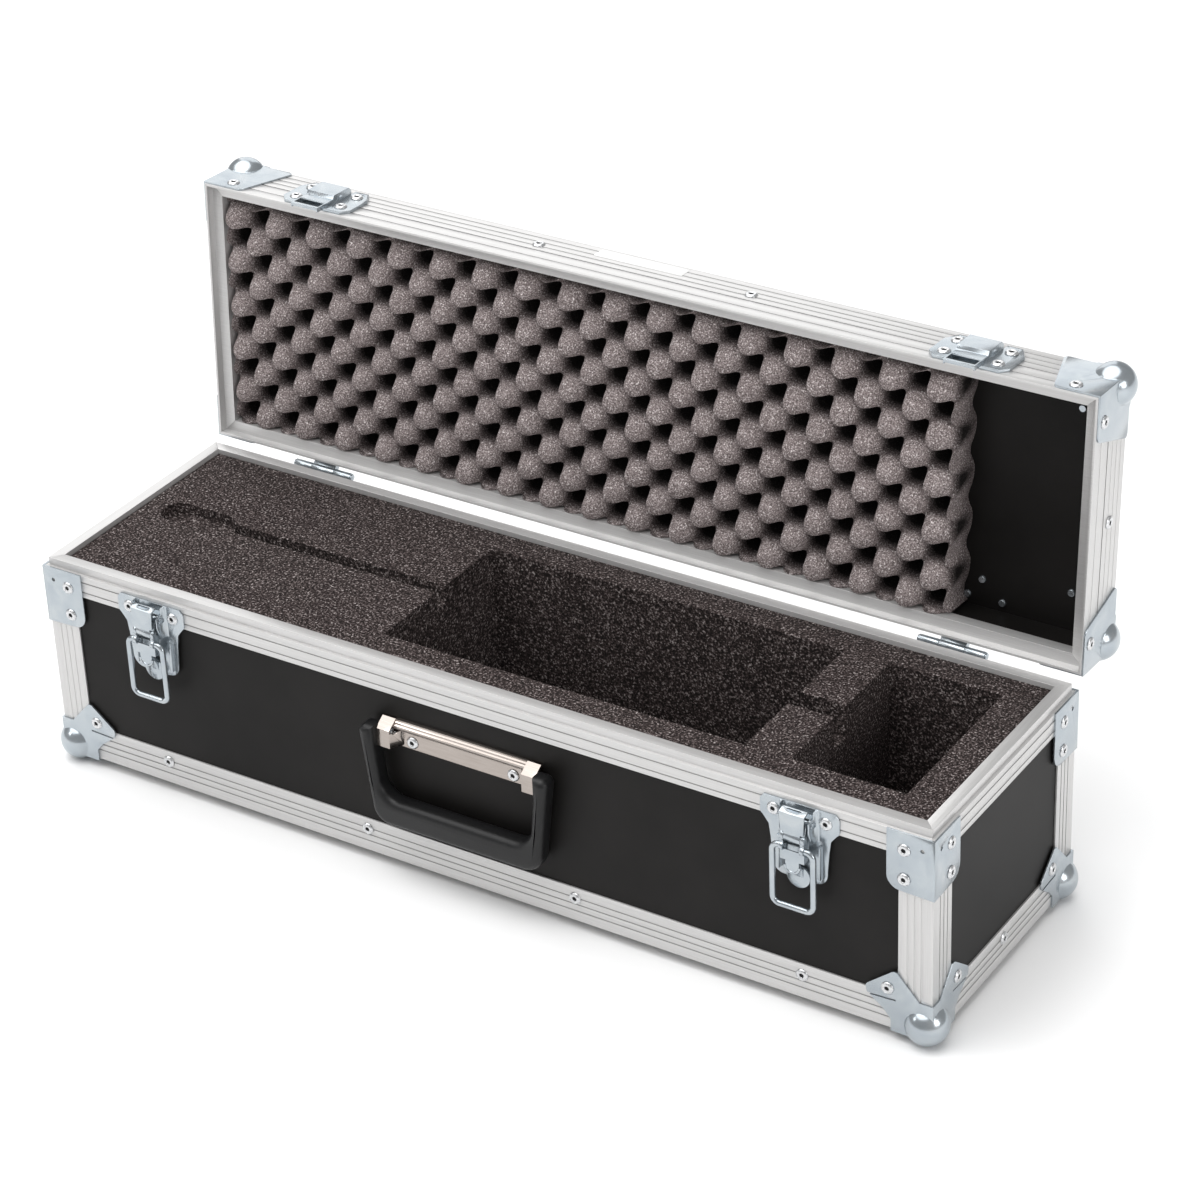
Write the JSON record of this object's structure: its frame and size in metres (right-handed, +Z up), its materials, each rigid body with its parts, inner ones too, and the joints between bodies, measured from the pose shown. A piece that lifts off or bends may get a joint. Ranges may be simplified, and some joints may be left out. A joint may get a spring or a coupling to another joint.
{
  "type": "microphone case",
  "caption": "Long hinged case of black boards in aluminium edge trim, with ball corners, two latches, a folding grip, a cut foam insert and peaked foam in the lid.",
  "frame": {"origin": "middle of the bottom board's underside; the edge trim stands 1.5 mm lower and the ball corners 10.5 mm lower", "axes": "+X along the length, +Y from the latches to the hinges, +Z up"},
  "size_m": [0.818, 0.3244, 0.4261],
  "materials": {
    "black_board": "black laminated plywood, satin",
    "aluminium_trim": "clear anodised, fine ribs along the length",
    "zinc_steel": "bluish zinc plating, satin",
    "nickel_steel": "warm nickel plating, satin",
    "black_plastic": "matte, finely grained",
    "dark_foam": "open-cell foam, brown-black with bright specks",
    "lid_foam": "convoluted open-cell foam, grey-brown",
    "white_label": "plain white label"
  },
  "bodies": {
    "base": {"bottom_panel": "black_board", "front_panel": "black_board", "rear_panel": "black_board", "left_panel": "black_board", "right_panel": "black_board", "bottom_extrusion_front": "aluminium_trim", "bottom_extrusion_rear": "aluminium_trim", "bottom_extrusion_left": "aluminium_trim", "bottom_extrusion_right": "aluminium_trim", "corner_post_front_left": "aluminium_trim", "corner_post_front_right": "aluminium_trim", "corner_post_rear_left": "aluminium_trim", "corner_post_rear_right": "aluminium_trim", "rim_front": "aluminium_trim", "rim_rear": "aluminium_trim", "rim_left": "aluminium_trim", "rim_right": "aluminium_trim", "rim_brace_front_left": "zinc_steel", "rim_brace_front_right": "zinc_steel", "rim_brace_rear_left": "zinc_steel", "rim_brace_rear_right": "zinc_steel", "ball_corner_front_left": "zinc_steel", "ball_corner_front_right": "zinc_steel", "ball_corner_rear_left": "zinc_steel", "ball_corner_rear_right": "zinc_steel", "base_rivets": "zinc_steel", "foam_insert": "dark_foam", "foam_pad": "dark_foam", "hinge_base_leaves": "zinc_steel", "hinge_pins": "zinc_steel", "latch_plate_left": "zinc_steel", "latch_plate_right": "zinc_steel", "lever_pin_left": "zinc_steel", "lever_pin_right": "zinc_steel", "handle_bracket": "nickel_steel", "handle_axle": "zinc_steel"},
    "lid": {"lid_panel": "black_board", "lid_wall_boards": "black_board", "lid_rim": "aluminium_trim", "lid_edge_extrusions": "aluminium_trim", "lid_corner_front_left": "zinc_steel", "lid_corner_front_right": "zinc_steel", "lid_corner_rear_left": "zinc_steel", "lid_corner_rear_right": "zinc_steel", "keeper_left": "zinc_steel", "keeper_right": "zinc_steel", "lid_rivets": "zinc_steel", "hinge_lid_leaves": "zinc_steel", "lid_foam": "lid_foam", "lid_label": "white_label"},
    "lever_left": {"latch_lever_left": "zinc_steel", "claw_pin_left": "zinc_steel"},
    "claw_left": {"latch_claw_left": "zinc_steel"},
    "ring_left": {"latch_ring_left": "zinc_steel"},
    "lever_right": {"latch_lever_right": "zinc_steel", "claw_pin_right": "zinc_steel"},
    "claw_right": {"latch_claw_right": "zinc_steel"},
    "ring_right": {"latch_ring_right": "zinc_steel"},
    "grip": {"handle_grip": "black_plastic"}
  },
  "joints": [
    {"name": "lid_hinge", "type": "hinge", "parent": "base", "child": "lid", "pos_m": [0, 0.1205, 0.1745], "axis": [1, 0, 0], "range_deg": [0, 93.3]},
    {"name": "lever_left_turn", "type": "hinge", "parent": "base", "child": "lever_left", "pos_m": [-0.293, -0.1185, 0.158], "axis": [-1, 0, 0], "range_deg": [0, 95]},
    {"name": "claw_left_turn", "type": "hinge", "parent": "lever_left", "child": "claw_left", "pos_m": [-0.293, -0.122, 0.1465], "axis": [-1, 0, 0], "range_deg": [-95, 0]},
    {"name": "ring_left_swing", "type": "hinge", "parent": "lever_left", "child": "ring_left", "pos_m": [-0.293, -0.1245, 0.1385], "axis": [1, 0, 0], "range_deg": [-150, 0]},
    {"name": "lever_right_turn", "type": "hinge", "parent": "base", "child": "lever_right", "pos_m": [0.293, -0.1185, 0.158], "axis": [-1, 0, 0], "range_deg": [0, 95]},
    {"name": "claw_right_turn", "type": "hinge", "parent": "lever_right", "child": "claw_right", "pos_m": [0.293, -0.122, 0.1465], "axis": [-1, 0, 0], "range_deg": [-95, 0]},
    {"name": "ring_right_swing", "type": "hinge", "parent": "lever_right", "child": "ring_right", "pos_m": [0.293, -0.1245, 0.1385], "axis": [1, 0, 0], "range_deg": [-150, 0]},
    {"name": "handle_fold", "type": "hinge", "parent": "base", "child": "grip", "pos_m": [0, -0.1195, 0.1245], "axis": [-1, 0, 0], "range_deg": [0, 95]}
  ],
  "couplings": [
    {"joint": "claw_left_turn", "follows": "lever_left_turn", "ratio": -1},
    {"joint": "claw_right_turn", "follows": "lever_right_turn", "ratio": -1}
  ]
}
